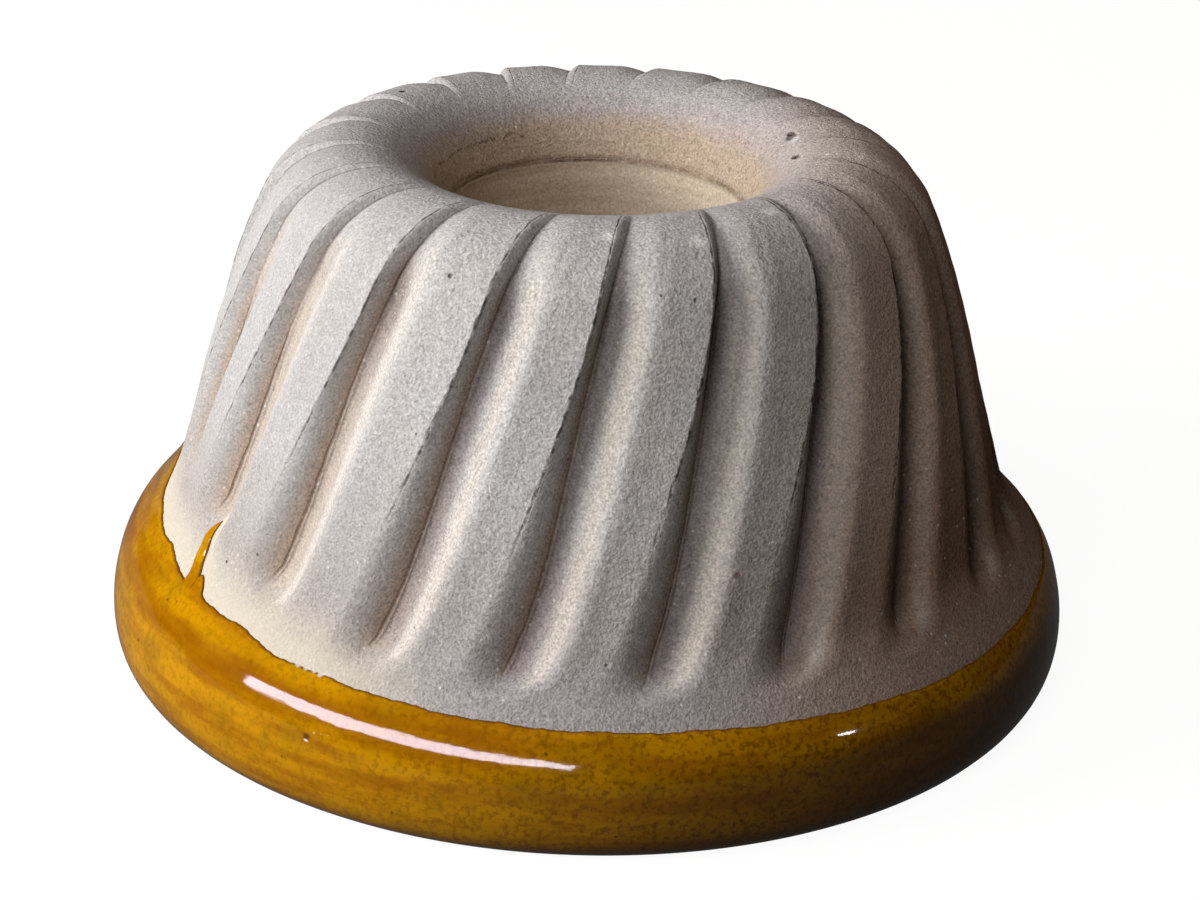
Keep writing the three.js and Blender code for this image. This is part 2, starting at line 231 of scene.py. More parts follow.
FACET_HOLLOW = 2.0
SLOPE_HOLLOW = 1.5
SLOPE_S_SHARE = 0.4
SLOPE_DIP = 1.0
CROWN_LOBE = 1.8
SOFT_EDGE_FROM = 0.075
SOFT_EDGE_TO = 0.112
SOFT_CROWN_FROM = 0.116
SOFT_CROWN_TO = 0.138


def groove_shape(on_facet, on_slope, length):
    """Depth share across a groove: a curve down the facet, a dip past the crease and an S-curve up the slope.

    The facet falls by a line high on the wall, and by a power of t lower down and on the crown.
    The slope mixes 3t^2 - 2t^3 of a power of t with t^2, and dips by t (1 - t)^3. On the crown it rises by
    1 - (1 - t)^n, so that round lobes meet there in a sharp crease.
    """
    crown = smooth_step(length, SOFT_CROWN_FROM, SOFT_CROWN_TO)
    low = 1 - smooth_step(length, SOFT_EDGE_FROM, SOFT_EDGE_TO)
    down = on_facet + (on_facet ** FACET_HOLLOW - on_facet) * low
    down = down + (on_facet ** FACET_HOLLOW - down) * crown
    up = SLOPE_S_SHARE * smooth_step(on_slope ** SLOPE_HOLLOW, 0, 1) + (1 - SLOPE_S_SHARE) * on_slope ** 2
    up = up - SLOPE_DIP * on_slope * (1 - on_slope) ** 3
    return down - up - (1 - (1 - on_slope) ** CROWN_LOBE - up) * crown


def groove_share(azimuth, length):
    """Depth share of the grooves at any point: the sum over the flutes of the shape between their lines."""
    _, edge, bottom, ridge = flute_lines(length)
    turn = (azimuth[..., None] - bottom + 180) % 360 - 180
    on_facet = np.clip(turn / (bottom - edge) + 1, 0, 1)
    on_slope = np.clip(turn / (ridge - bottom), 0, 1)
    return groove_shape(on_facet, on_slope, length[..., None]).sum(axis=-1)


HAND_HOLLOW = 0.00012
WALL_RING_DEPTH = 0.00003
WALL_RING_PITCH = 0.0063


def unevenness(azimuth, length):
    """Small hollows left by hand, as sums of sines over azimuth and length; never above the true face."""
    a = np.radians(azimuth)
    broad = np.sin(2 * a + 1.3) + np.sin(5 * a - 60 * length) + np.sin(3 * a + 95 * length + 0.7)
    rings = np.sin(2 * np.pi * length / WALL_RING_PITCH + 0.8 * np.sin(2 * a))
    return -HAND_HOLLOW * (3 + broad) / 2 - WALL_RING_DEPTH * (1 + rings)


# One flute's columns: on its rib from 0 to 1, on its facet from 1 to 2 and on its slope from 2 to 3
SECTION = np.concatenate([
    [0, 0.04, 0.1, 0.2, 0.33, 0.47, 0.6, 0.72, 0.82, 0.9, 0.96],
    [1, 1.05, 1.13, 1.25, 1.4, 1.56, 1.72, 1.86, 1.95],
    [2, 2.025, 2.06, 2.12, 2.22, 2.34, 2.47, 2.6, 2.72, 2.82, 2.9, 2.96],
])
SHELL_COLUMNS = FLUTES * len(SECTION)
RIDGE_ROUNDING = 0.05
CREASE_DEPTH = 0.012
CREASE_WIDTH = 0.03
SECOND_CREASE = 2.09
SECOND_CREASE_SHARE = 0.7
CREASE_ROUNDING = 0.05
RIB_FLATNESS = 0.00025

on_rib = np.clip(SECTION, 0, 1)
on_facet = np.clip(SECTION - 1, 0, 1)
on_slope = np.clip(SECTION - 2, 0, 1)
section_detail = (RIDGE_ROUNDING * (bell(SECTION, 0, 0.07) + bell(SECTION, 3, 0.08))
                  + CREASE_DEPTH * (bell(SECTION, 2, CREASE_WIDTH)
                                    + SECOND_CREASE_SHARE * bell(SECTION, SECOND_CREASE, CREASE_WIDTH))
                  - CREASE_ROUNDING * bell(SECTION, 2, 0.1))


def shell_azimuths(length):
    """Azimuth of each column by row: the flute's four lines, blended by the column's place in the section."""
    before, edge, bottom, ridge = (line[..., None] for line in flute_lines(length))
    azimuth = (before * (1 - on_rib) + edge * (on_rib - on_facet)
               + bottom * (on_facet - on_slope) + ridge * on_slope)
    return azimuth.reshape(len(length), SHELL_COLUMNS)


def ring_piece(name, radius, height, azimuth, across, along, fields=None):
    """Closed ring: grids of radius, height and azimuth; rows go round the section, columns round the axis.

    x = r sin(azimuth), y = -r cos(azimuth). Four neighbours make a face, and both grid directions close up.
    across and along are the surface map, with one more column than the grid, so that its seam stays whole.
    """
    rows, columns = radius.shape
    turn = np.radians(azimuth)
    points = np.stack([radius * np.sin(turn), -radius * np.cos(turn), height], axis=-1)
    index = np.arange(rows * columns).reshape(rows, columns)
    beside = np.roll(index, -1, axis=1)
    faces = np.stack([index, beside, np.roll(beside, -1, axis=0), np.roll(index, -1, axis=0)], axis=-1)
    surface = np.stack([across, along], axis=-1)
    above = np.roll(surface, -1, axis=0)
    corners = np.stack([surface[:, :-1], surface[:, 1:], above[:, 1:], above[:, :-1]], axis=2)
    mesh = bpy.data.meshes.new(name)
    mesh.vertices.add(rows * columns)
    mesh.vertices.foreach_set("co", points.astype(np.float32).ravel())
    mesh.loops.add(faces.size)
    mesh.loops.foreach_set("vertex_index", faces.astype(np.int32).ravel())
    mesh.polygons.add(rows * columns)
    mesh.polygons.foreach_set("loop_start", np.arange(0, faces.size, 4, dtype=np.int32))
    mesh.update(calc_edges=True)
    mesh.uv_layers.new(name="surface").data.foreach_set("uv", corners.astype(np.float32).ravel())
    for field, values in (fields or {}).items():
        attribute = mesh.attributes.new(field, "FLOAT", "POINT")
        attribute.data.foreach_set("value", values.astype(np.float32).ravel())
    mesh.shade_smooth()
    mesh.validate()
    piece = bpy.data.objects.new(name, mesh)
    bpy.context.scene.collection.objects.link(piece)
    return piece


# The glaze's edge, where the bare clay starts, as a rise in mm above the glaze line at azimuths in degrees:
# a dipped line aslant, higher on the left, with a climb at the far left
GLAZE_EDGE_RISE = {-180: 0, -150: 1.5, -120: 7, -105: 13, -97: 15, -92: 14.5, -88: 12, -84.7: 9,
                   -79.8: 8.1, -73.6: 7.1, -69: 7.7, -63: 5.8, -55.5: 4.9, -46: 5, -40.7: 3.1,
                   -29.5: 2.5, -16.8: 1.3, -1: 0.2, 13.5: -0.4, 31.7: -1.5, 48: -2.8, 76: -2.4,
                   110: -2.6, 150: -1.5, 180: 0}
GLAZE_EDGE_ROUNDING_TURN = 0.7
RUN_AZIMUTH = -59.3
RUN_HALF_WIDTH = 1.2
RUN_HEIGHT = 0.0138
RUN_FOOT_HEIGHT = 0.0036
RUN_FOOT_OFFSET = 1.8
RUN_FOOT_WIDTH = 1.5
RUN_LEAN = 1.0
RUN_LEAN_WIDTH = 4
RUN_LEAN_FROM = 0.0455
RUN_LEAN_TO = 0.0512
GLAZE_EDGE_WAVER = 0.00013


def run_lean(azimuth, length):
    """Degrees by which the run leans from upright: a bell round the run, by a smooth step of the length."""
    near_run = bell(azimuth, RUN_AZIMUTH, RUN_LEAN_WIDTH)
    return -RUN_LEAN * near_run * smooth_step(length, RUN_LEAN_FROM, RUN_LEAN_TO)


def glaze_edge(azimuth):
    """Length along the profile where the glaze ends.

    Straight lines between the rises, rounded by a mean over a small turn, with a blunt tongue and a bell
    for the run, and a sum of sines for the waver.
    """
    turn = (azimuth + 180) % 360 - 180
    a = np.radians(turn)
    near = turn[..., None] + GLAZE_EDGE_ROUNDING_TURN * np.linspace(-1, 1, 9)
    rise = np.interp(near, list(GLAZE_EDGE_RISE), list(GLAZE_EDGE_RISE.values())).mean(axis=-1) / 1000
    tongue = np.clip(1 - np.abs((turn - RUN_AZIMUTH) / RUN_HALF_WIDTH) ** 3, 0, 1) ** 0.8
    foot = bell(turn, RUN_AZIMUTH + RUN_FOOT_OFFSET, RUN_FOOT_WIDTH)
    waver = np.sin(31 * a + 0.4) + 0.7 * np.sin(67 * a) + 0.5 * np.sin(151 * a + 1) + 0.4 * np.sin(293 * a)
    run = RUN_HEIGHT * tongue + RUN_FOOT_HEIGHT * foot
    return AT_GLAZE_LINE + rise + run + GLAZE_EDGE_WAVER * waver


SHELL_RIM_ROWS = 8
SHELL_TIP_ROWS = 34
SHELL_WALL_ROWS = 92
AT_TIPS_OPEN = AT_FLUTE_TIP + FLUTE_TIP_LENGTH
TEAR_SEED = 20
TEAR_DEPTH = 0.00012
TEAR_WIDTH = 0.08
TEARS_ON_RIGHT = 0.25
TEARS_GROW_LEFT = (0, 35)

random = np.random.default_rng(TEAR_SEED)
outer_length = np.concatenate([np.linspace(0, AT_SHOULDER, SHELL_RIM_ROWS, endpoint=False),
                               np.linspace(AT_SHOULDER, AT_TIPS_OPEN, SHELL_TIP_ROWS, endpoint=False),
                               np.linspace(AT_TIPS_OPEN, AT_SEAM, SHELL_WALL_ROWS)])
outer_azimuth = shell_azimuths(outer_length)
outer_rows = len(outer_length)
by_row = outer_length[:, None]
fluting_here = fluting(by_row, outer_azimuth)
tears = random.random((outer_rows, FLUTES)) ** 3
at_rib_edge = np.tile(bell(SECTION, 1, TEAR_WIDTH), FLUTES)
tear_depth = TEAR_DEPTH * np.repeat(tears, len(SECTION), axis=1) * at_rib_edge
tear_depth = tear_depth * smooth_step(by_row, SOFT_EDGE_FROM, SOFT_EDGE_TO)
to_the_left = smooth_step(-outer_azimuth, *TEARS_GROW_LEFT)
tear_depth = tear_depth * (TEARS_ON_RIGHT + (1 - TEARS_ON_RIGHT) * to_the_left)
flat_rib = RIB_FLATNESS * np.tile(np.sin(np.pi * on_rib), FLUTES)
section_depth = groove_shape(on_facet, on_slope, by_row) + section_detail
groove = fluting_here * np.tile(section_depth, FLUTES)
outer_rise = unevenness(outer_azimuth, by_row) - FLUTE_DEPTH * groove - (flat_rib + tear_depth) * fluting_here
outer_radius, outer_height = off_face(*CLAY, by_row, outer_rise)

CAVITY_ROWS = 18
CAVITY_RIB_FADE = 0.014


def cavity_ribs(length):
    """Share of the full soft ribs on the cavity side: the fluting, begun above the waist by a smooth step."""
    return fluting(length) * smooth_step(length, AT_WAIST, AT_WAIST + CAVITY_RIB_FADE)


cavity_length = np.linspace(AT_SEAM, AT_WAIST, CAVITY_ROWS)
cavity_azimuth = shell_azimuths(cavity_length)
swell = 0.5 + 0.5 * np.cos(2 * np.pi * (np.tile(SECTION, FLUTES) - 2) / 3)
cavity_inset = WALL_THICKNESS + CAVITY_FLUTE_DEPTH * swell * cavity_ribs(cavity_length)[:, None]
cavity_radius, cavity_height = off_face(*CLAY, cavity_length[:, None], -cavity_inset)
FLARE_SHARES = np.array([0.7, 0.35])[:, None]
flare_rows = len(FLARE_SHARES)
waist_inside = np.array(off_face(*CLAY, AT_WAIST, -WALL_THICKNESS))
flare = foot_inner + (waist_inside - foot_inner) * FLARE_SHARES
ones = np.ones((1, SHELL_COLUMNS))
flare_azimuth = np.repeat(outer_azimuth[:1], flare_rows, axis=0)
shell_azimuth = np.concatenate([outer_azimuth, cavity_azimuth, flare_azimuth])
shell_across = np.append((3 * np.arange(FLUTES)[:, None] + SECTION).ravel(), 3 * FLUTES)
shell_along = np.concatenate([outer_length, cavity_length, np.zeros(flare_rows)])
run_lean_here = run_lean(shell_azimuth, shell_along[:, None])
clay_shell = ring_piece(
    "clay_shell",
    np.concatenate([outer_radius, cavity_radius, flare[:, :1] * ones]),
    np.concatenate([outer_height, cavity_height, flare[:, 1:] * ones]),
    shell_azimuth,
    np.repeat(shell_across[None], len(shell_along), axis=0),
    np.repeat(shell_along[:, None], SHELL_COLUMNS + 1, axis=1),
    {"groove": np.concatenate([groove, np.zeros((CAVITY_ROWS + flare_rows, SHELL_COLUMNS))]),
     "above_glaze": shell_along[:, None] - glaze_edge(shell_azimuth - run_lean_here)})


def srgb(red, green, blue):
    """Linear colour of a screen colour given in 0 to 255."""
    screen = np.array([red, green, blue]) / 255
    linear = np.where(screen <= 0.04045, screen / 12.92, ((screen + 0.055) / 1.055) ** 2.4)
    return (*linear.tolist(), 1.0)


class Wire:
    """A shader socket: arithmetic on it adds Math nodes, and node() adds any other node to its tree."""

    def __init__(self, tree, socket=None):
        self.tree = tree
        self.socket = socket

    def node(self, kind, settings=None, inputs=None, out=0):
        """Adds a node of a kind: settings first, then the values or links of its sockets; gives an output."""
        made = self.tree.nodes.new(kind)
        for name, value in (settings or {}).items():
            setattr(made, name, value)
        for name, value in (inputs or {}).items():
            if isinstance(value, Wire):
                self.tree.links.new(value.socket, made.inputs[name])
            else:
                made.inputs[name].default_value = value
        return Wire(self.tree, made.outputs[out] if len(made.outputs) else None)

    def math(self, operation, *values):
        """Math node on some values or wires."""
        return self.node("ShaderNodeMath", {"operation": operation}, dict(enumerate(values)))

    def __add__(self, other):
        return self.math("ADD", self, other)

    def __radd__(self, other):
        return self.math("ADD", other, self)

    def __sub__(self, other):
        return self.math("SUBTRACT", self, other)

    def __rsub__(self, other):
        return self.math("SUBTRACT", other, self)

    def __mul__(self, other):
        return self.math("MULTIPLY", self, other)

    def __rmul__(self, other):
        return self.math("MULTIPLY", other, self)

    def __abs__(self):
        return self.math("ABSOLUTE", self)

    def __mod__(self, other):
        return self.math("MODULO", self, other)

    def step(self, low, high):
        """0 below low and 1 above high, eased between; the other way round where low is above high."""
        if low > high:
            return 1 - self.step(high, low)
        return self.node("ShaderNodeMapRange", {"interpolation_type": "SMOOTHSTEP"},
                         {"Value": self, "From Min": low, "From Max": high})

    def line(self, place, width):
        """1 where the value is at a place, easing to 0 at a width from it."""
        return abs(self - place).step(width, 0.25 * width)

    def mix(self, first, second):
        """Colour between two colours, with this value as the factor."""
        return self.node("ShaderNodeMix", {"data_type": "RGBA"}, {0: self, 6: first, 7: second}, out=2)

    def part(self, axis):
        """One coordinate of this vector: X, Y or Z."""
        return self.node("ShaderNodeSeparateXYZ", None, {"Vector": self}, out=axis)

    def noise(self, scale, detail=2.0, roughness=0.5):
        """Noise texture on this vector."""
        return self.node("ShaderNodeTexNoise", None,
                         {"Vector": self, "Scale": scale, "Detail": detail, "Roughness": roughness})

    def specks(self, scale, size, share):
        """Round specks on this vector: the cells of a Voronoi texture whose random value is in a share."""
        cells = {"Vector": self, "Scale": scale}
        near = self.node("ShaderNodeTexVoronoi", None, cells, out="Distance").step(size, 0.6 * size)
        random_colour = self.node("ShaderNodeTexVoronoi", None, cells, out="Color")
        chance = self.node("ShaderNodeSeparateColor", None, {"Color": random_colour}, out="Red")
        return near * chance.step(1 - share, 1.02 - share)

    def spot(self, place, size):
        """1 at a place in this vector's space, easing to 0 at a size from it."""
        away = self.node("ShaderNodeVectorMath", {"operation": "DISTANCE"}, {0: self, 1: place}, out="Value")
        return away.step(size, 0.4 * size)


def new_finish(name):
    """An empty node material, and a wire to start its nodes from."""
    material = bpy.data.materials.new(name)
    material.use_nodes = True
    material.node_tree.nodes.clear()
    return material, Wire(material.node_tree)


def clay_grain(coords):
    """Sandy clay as a tone, near 1, and a height for the bump: fine grain, sand, mottling, broad patches."""
    fine = coords.noise(1900, 1.0) - 0.5
    sand = coords.noise(800, 2.0, 0.65) - 0.5
    mottle = coords.noise(150, 3.0, 0.6) - 0.5
    patch = coords.noise(26, 2.0) - 0.5
    tone = 1 + 1.3 * fine + 0.6 * sand + 0.22 * mottle + 0.16 * patch
    return tone, 0.5 * fine + 0.9 * sand + 0.8 * mottle


def clay_surface(start, coords, colour, tone, height):
    """Matt clay shader: a colour scaled by its tone, with quartz and iron specks, and the grain's bump."""
    grainy = start.node("ShaderNodeVectorMath", {"operation": "SCALE"}, {0: colour, "Scale": tone},
                        out="Vector")
    quartz = coords.specks(620, 0.24, 0.1)
    iron = coords.specks(230, 0.1, 0.09)
    speckled = (0.75 * quartz).mix(grainy, srgb(236, 232, 226))
    speckled = (0.8 * iron).mix(speckled, srgb(88, 72, 62))
    bump = start.node("ShaderNodeBump", None, {"Strength": 0.7, "Distance": 0.0004, "Height": height},
                      out="Normal")
    shader = start.node("ShaderNodeBsdfPrincipled", None, {
        "Base Color": speckled, "Roughness": 0.95, "Specular IOR Level": 0.08, "Normal": bump}, out="BSDF")
    start.node("ShaderNodeOutputMaterial", None, {"Surface": shader})


def marks_on(coords, marks):
    """Mask of small marks, each a size and a place: azimuth, in degrees, and length along the profile."""
    total = 0
    for size, azimuth, length in marks:
        radius, height = off_face(*CLAY, length, 0)
        turn = math.radians(azimuth)
        place = (float(radius) * math.sin(turn), -float(radius) * math.cos(turn), float(height))
        total = total + coords.spot(place, size)
    return total


# Lengths along the profile between which painted shade on the clay fades in: low on the wall, along the torn
# rib edges, whose bump fades in there too, and in the creases on the crown
SHADED_LOWER_WALL = (0.09, 0.055)
SHADED_TORN_EDGES = (0.066, 0.09)
SHADED_CROWN_CREASES = (0.11, 0.124)

# Single marks on the clay: size, azimuth in degrees and length along the profile
DARK_MARKS = [(0.0011, -125, 0.1462), (0.0008, -23.9, 0.1274), (0.0006, -58.1, 0.0585),
              (0.0005, -54.2, 0.0533), (0.0008, 16, 0.1249)]
GOUGES = [(0.0013, 107.4, 0.1569), (0.0018, 105.5, 0.1573), (0.0013, 90, 0.159), (0.001, 88.5, 0.1586)]
RED_MARKS = [(0.0011, 19.4, 0.0688), (0.0009, 19, 0.0613), (0.0009, -70.9, 0.0984)]
PALE_MARKS = [(0.0022, 2.5, 0.1411), (0.0024, 18.6, 0.1386), (0.0025, 38.3, 0.1446), (0.0016, 103, 0.1575),
              (0.0009, 102.1, 0.1507), (0.0008, 103.9, 0.1458), (0.001, 83.9, 0.1517),
              (0.0011, 83.3, 0.1443), (0.0012, 62.9, 0.1523), (0.0012, 61.1, 0.1462)]
CHIP = [(0.0014, -22, 0.0725), (0.0008, -21.2, 0.0718)]


def shell_finish():
    """Bare clay: grey ribs and a yellowish funnel, with painted light on the lighter, warmer slopes and
    painted shade in the brown grooves, dark creases and torn rib edges.

    It is a little greyer on the left, with a cream halo over the glaze there. Painted shade makes it browner
    on the right, and darker low on the wall, in the collar above the glaze and where the crown is gouged.
    """
    material, start = new_finish("bare_sandy_clay")
    coords = start.node("ShaderNodeTexCoord", out="Object")
    surface = start.node("ShaderNodeUVMap", {"uv_map": "surface"}, out="UV")
    place = surface.part("X") % 3.0
    length = surface.part("Y")
    groove_here = start.node("ShaderNodeAttribute", {"attribute_name": "groove"}, out="Fac")
    above = start.node("ShaderNodeAttribute", {"attribute_name": "above_glaze"}, out="Fac")
    tone, height = clay_grain(coords)
    waver = coords.noise(240, 2.0) - 0.5
    torn = coords.noise(520, 2.0).step(0.42, 0.62)
    sideways = coords.part("X")
    left = sideways.step(-0.02, -0.06)
    back_left = sideways.step(0.0, -0.015)

    patch = coords.noise(34, 3.0).step(0.35, 0.7)
    colour = patch.mix(srgb(203, 200, 199), srgb(207, 201, 196))
    colour = (0.5 * left).mix(colour, srgb(187, 184, 183))
    crown = length.step(AT_CROWN - 0.004, AT_CROWN_TOP)
    colour = (0.5 * crown).mix(colour, srgb(194, 190, 191))
    fluted = groove_here.step(0.05, 0.35)
    deep = groove_here.step(0.25, 0.85)
    # Painted shade: the clay darker towards the bottom of the wall
    lower = length.step(*SHADED_LOWER_WALL)
    colour = (0.7 * lower).mix(colour, srgb(180, 170, 164))
    # Painted shade: darker grey clay in the collar just above the glaze, except on the lit left
    collar = above.step(0.022, 0.005) * (1 - left)
    colour = (0.65 * collar).mix(colour, srgb(168, 163, 165))
    # Painted shade: the clay warmer and browner on the right, and darker brown low on the right
    painted_warm_shade = sideways.step(0.01, 0.085)
    colour = (0.7 * painted_warm_shade).mix(colour, srgb(200, 171, 151))
    colour = (0.6 * painted_warm_shade * lower).mix(colour, srgb(146, 119, 100))
    on_wall = length.step(AT_CROWN_TOP, AT_CROWN)
    # Painted shade: the facets of the deeper grooves darker and browner, less so on the lit left
    facet = (place + 0.15 * waver).step(1.0, 1.5) * place.step(2.12, 2.0)
    painted_facet_shade = left.mix(srgb(166, 144, 129), srgb(190, 167, 149))
    colour = (0.85 * facet * deep * on_wall).mix(colour, painted_facet_shade)
    # Painted shade: the groove bottom and the start of the slope darker, less so on the lit left
    bottom = place.step(2.0, 2.12) * (place - 0.2 * left).step(2.55, 2.2)
    painted_groove_bottom_shade = left.mix(srgb(160, 147, 146), srgb(194, 178, 162))
    colour = (0.75 * bottom * deep * on_wall).mix(colour, painted_groove_bottom_shade)
    # Painted light: the upper slopes, which face the light, lighter and warmer
    slope = place.step(2.4, 2.65) * place.step(3.0, 2.8)
    colour = (0.85 * slope * fluted).mix(colour, srgb(214, 205, 197))
    # Painted shade: the wall browner on the right, and dark brown low on the right
    painted_brown_shade = sideways.step(0.035, 0.085) * on_wall * (1 - collar)
    colour = (0.55 * painted_brown_shade).mix(colour, srgb(180, 140, 110))
    colour = (0.45 * painted_brown_shade * lower).mix(colour, srgb(112, 84, 66))
    # Painted shade: dark lines in the creases at the groove bottoms; the creases' bump is their own
    crease = (place + 0.08 * waver).line(2.0, 0.045) + 0.5 * (place - 0.06 * waver).line(2.1, 0.045)
    crease = crease * groove_here.step(0.6, 1.0)
    colour = (0.45 * crease).mix(colour, srgb(92, 72, 60))
    # Painted shade: dark creases where the lobes meet on the crown
    painted_crown_crease_shade = (place + 0.1 * waver).line(2.0, 0.09) * length.step(*SHADED_CROWN_CREASES)
    painted_crown_crease_shade = painted_crown_crease_shade * length.step(AT_FLUTE_END, AT_CROWN_TOP)
    colour = (0.55 * painted_crown_crease_shade).mix(colour, srgb(104, 90, 96))
    # Painted shade: a dark, broken line along the torn rib edges, where the rib drops into the groove; their
    # bump is the tearing
    edge = (place + 0.12 * waver).line(1.02, 0.07) * (0.3 + 0.7 * torn)
    edge = edge * length.step(*SHADED_TORN_EDGES) * length.step(AT_FLUTE_END, AT_CROWN_TOP)
    colour = (0.8 * edge).mix(colour, srgb(92, 76, 69))

    halo = (above + 0.004 * waver).step(0.013, 0.001) * left
    colour = (0.8 * halo).mix(colour, srgb(222, 212, 192))
    tone = tone + (0.3 * left + 0.5 * halo) * (1 - tone)
    funnel = (length + 0.004 * waver).step(AT_FLUTE_END - 0.004, AT_FLUTE_END + 0.010)
    colour = (0.9 * funnel).mix(colour, srgb(184, 168, 162))
    seam_side = (length + 0.005 * waver).step(AT_SEAM - 0.013, AT_SEAM - 0.006)
    colour = (0.9 * seam_side).mix(colour, srgb(188, 168, 146))
    scored = (0.35 * (length + 0.002 * waver).line(AT_SEAM - 0.0036, 0.0005)
              + (length + 0.003 * waver).line(AT_SEAM - 0.0066, 0.0006) * back_left) * torn
    colour = (0.6 * scored * funnel).mix(colour, srgb(120, 98, 80))

    dark_marks = marks_on(coords, DARK_MARKS)
    shaded_gouges = marks_on(coords, GOUGES)
    red_marks = marks_on(coords, RED_MARKS)
    pale_marks = marks_on(coords, PALE_MARKS)
    chip = marks_on(coords, CHIP)
    colour = (0.85 * dark_marks).mix(colour, srgb(58, 46, 40))
    # Painted shade inside the gouged spots on the crown; their dip is in the bump
    colour = (0.8 * shaded_gouges).mix(colour, srgb(106, 92, 84))
    colour = (0.7 * red_marks).mix(colour, srgb(120, 62, 42))
    colour = (0.8 * pale_marks).mix(colour, srgb(234, 231, 227))
    colour = chip.mix(colour, srgb(252, 252, 252))
    height = height - 2.5 * (dark_marks + shaded_gouges) - 1.0 * edge - 1.0 * crease * fluted - 1.2 * scored * funnel
    clay_surface(start, coords, colour, tone, height)
    return material


clay_shell.data.materials.append(shell_finish())
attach(clay_shell, "root")
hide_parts("fluted_shell")

# Chimney
# A tube thrown on its own, of the same clay, luted into the funnel and open at its lower end.
# Its bore keeps the rings of the throwing, and tapers down to the cavity's mouth.

CHIMNEY_WALL = 0.006
CHIMNEY_END = (0.021, 0.010)
CHIMNEY_BELLY = 0.003
LUTING_SLIP = 0.0008
LUTING_COIL_LAP = 0.008
LUTING_COIL_BULGE = 0.0016
CHIMNEY_COLUMNS = 240
CHIMNEY_ROWS = 110
CHIMNEY_OUTSIDE_ROWS = 24
BORE_RING_DEPTH = 0.00022
BORE_RING_PITCH = 0.0061
BORE_SWELL_PITCH = 0.0137
BORE_RINGS_START = 0.004
BORE_WAVER = 0.00012
BORE_WAVER_START = 0.01

seam = CLAY_FACE[-1]
seam_normal = CLAY_NORMAL[-1]
seam_way = np.array([-seam_normal[1], seam_normal[0]])
tube_top = seam + LUTING_SLIP * seam_way
tube_belly = (tube_top + CHIMNEY_END) / 2 + np.array([CHIMNEY_BELLY, 0])
BORE = bezier(tube_top, tube_belly, CHIMNEY_END, count=400)
BORE_ALONG = lengths_along(BORE)
BORE_LENGTH = BORE_ALONG[-1]
BORE_NORMAL = outward(BORE, BORE_ALONG)
BORE_FACE = (BORE, BORE_NORMAL, BORE_ALONG)


def turned_piece(name, radius, height, columns, waver, along):
    """Turned ring: one closed section in (radius, height) carried round the axis, its rows a little uneven.

    The unevenness is a sum of sines of the azimuth that drifts from row to row, and moves the radius alone.
    """
    azimuth = np.arange(columns)[None] * 360 / columns
    turn = np.radians(azimuth)
    drift = np.sin(2 * turn + 30 * along[:, None]) + 0.6 * np.sin(5 * turn - 170 * along[:, None])
    grid = radius[:, None] + np.asarray(waver)[..., None] * drift
    across = np.repeat(np.linspace(0, 1, columns + 1)[None], len(radius), axis=0)
    return ring_piece(name, grid, np.repeat(height[:, None], columns, axis=1),
                      np.repeat(azimuth, len(radius), axis=0), across,
                      np.repeat(along[:, None], columns + 1, axis=1))


bore_length = np.linspace(0, BORE_LENGTH, CHIMNEY_ROWS)
bore_rings = np.sin(2 * np.pi * bore_length / BORE_RING_PITCH)
bore_swells = np.sin(2 * np.pi * bore_length / BORE_SWELL_PITCH)
throwing = BORE_RING_DEPTH * (bore_rings + 0.5 * bore_swells) * smooth_step(bore_length, 0, BORE_RINGS_START)
bore_radius, bore_height = off_face(*BORE_FACE, bore_length, -np.abs(throwing))
outside_length = np.linspace(BORE_LENGTH, LUTING_COIL_LAP, CHIMNEY_OUTSIDE_ROWS)
outside_radius, outside_height = off_face(*BORE_FACE, outside_length, -CHIMNEY_WALL)
tube_top_outside = tube_top - CHIMNEY_WALL * seam_normal
bore_waver = BORE_WAVER * smooth_step(bore_length, 0, BORE_WAVER_START)
clay_chimney = turned_piece(
    "clay_chimney",
    np.concatenate([bore_radius, outside_radius, tube_top_outside[:1]]),
    np.concatenate([bore_height, outside_height, tube_top_outside[1:]]),
    CHIMNEY_COLUMNS,
    np.concatenate([bore_waver, np.zeros(len(outside_length) + 1)]),
    np.concatenate([bore_length, outside_length, [0]]))


def chimney_finish():
    """Smoother taupe clay, with darker and paler throwing rings and a yellow cast."""
    material, start = new_finish("thrown_taupe_clay")
    coords = start.node("ShaderNodeTexCoord", out="Object")
    surface = start.node("ShaderNodeUVMap", {"uv_map": "surface"}, out="UV")
    length = surface.part("Y")
    tone, height = clay_grain(coords)
    ringed = start.node("ShaderNodeMapping", None, {"Vector": coords, "Scale": (14, 14, 210)}, out="Vector")
    rings = ringed.noise(1.0, 2.0).step(0.3, 0.7)
    colour = rings.mix(srgb(198, 180, 160), srgb(212, 196, 175))
    colour = (0.7 * length.step(0.0014, 0.0)).mix(colour, srgb(150, 130, 112))
    clay_surface(start, coords, colour, 0.35 + 0.65 * tone, 0.4 * height + 0.5 * rings)
    return material


clay_chimney.data.materials.append(chimney_finish())
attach(clay_chimney, "root")
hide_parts("chimney_tube")

# Luting
# Slip that fills the seam between funnel and chimney, and a coil of clay smoothed over it in the cavity.
# In the funnel it shows as a thin, uneven, darker line that is nearly flush with both edges.

LUTING_COLUMNS = 360
SLIP_RECESS = 0.00012
SLIP_WAVER = 0.00015

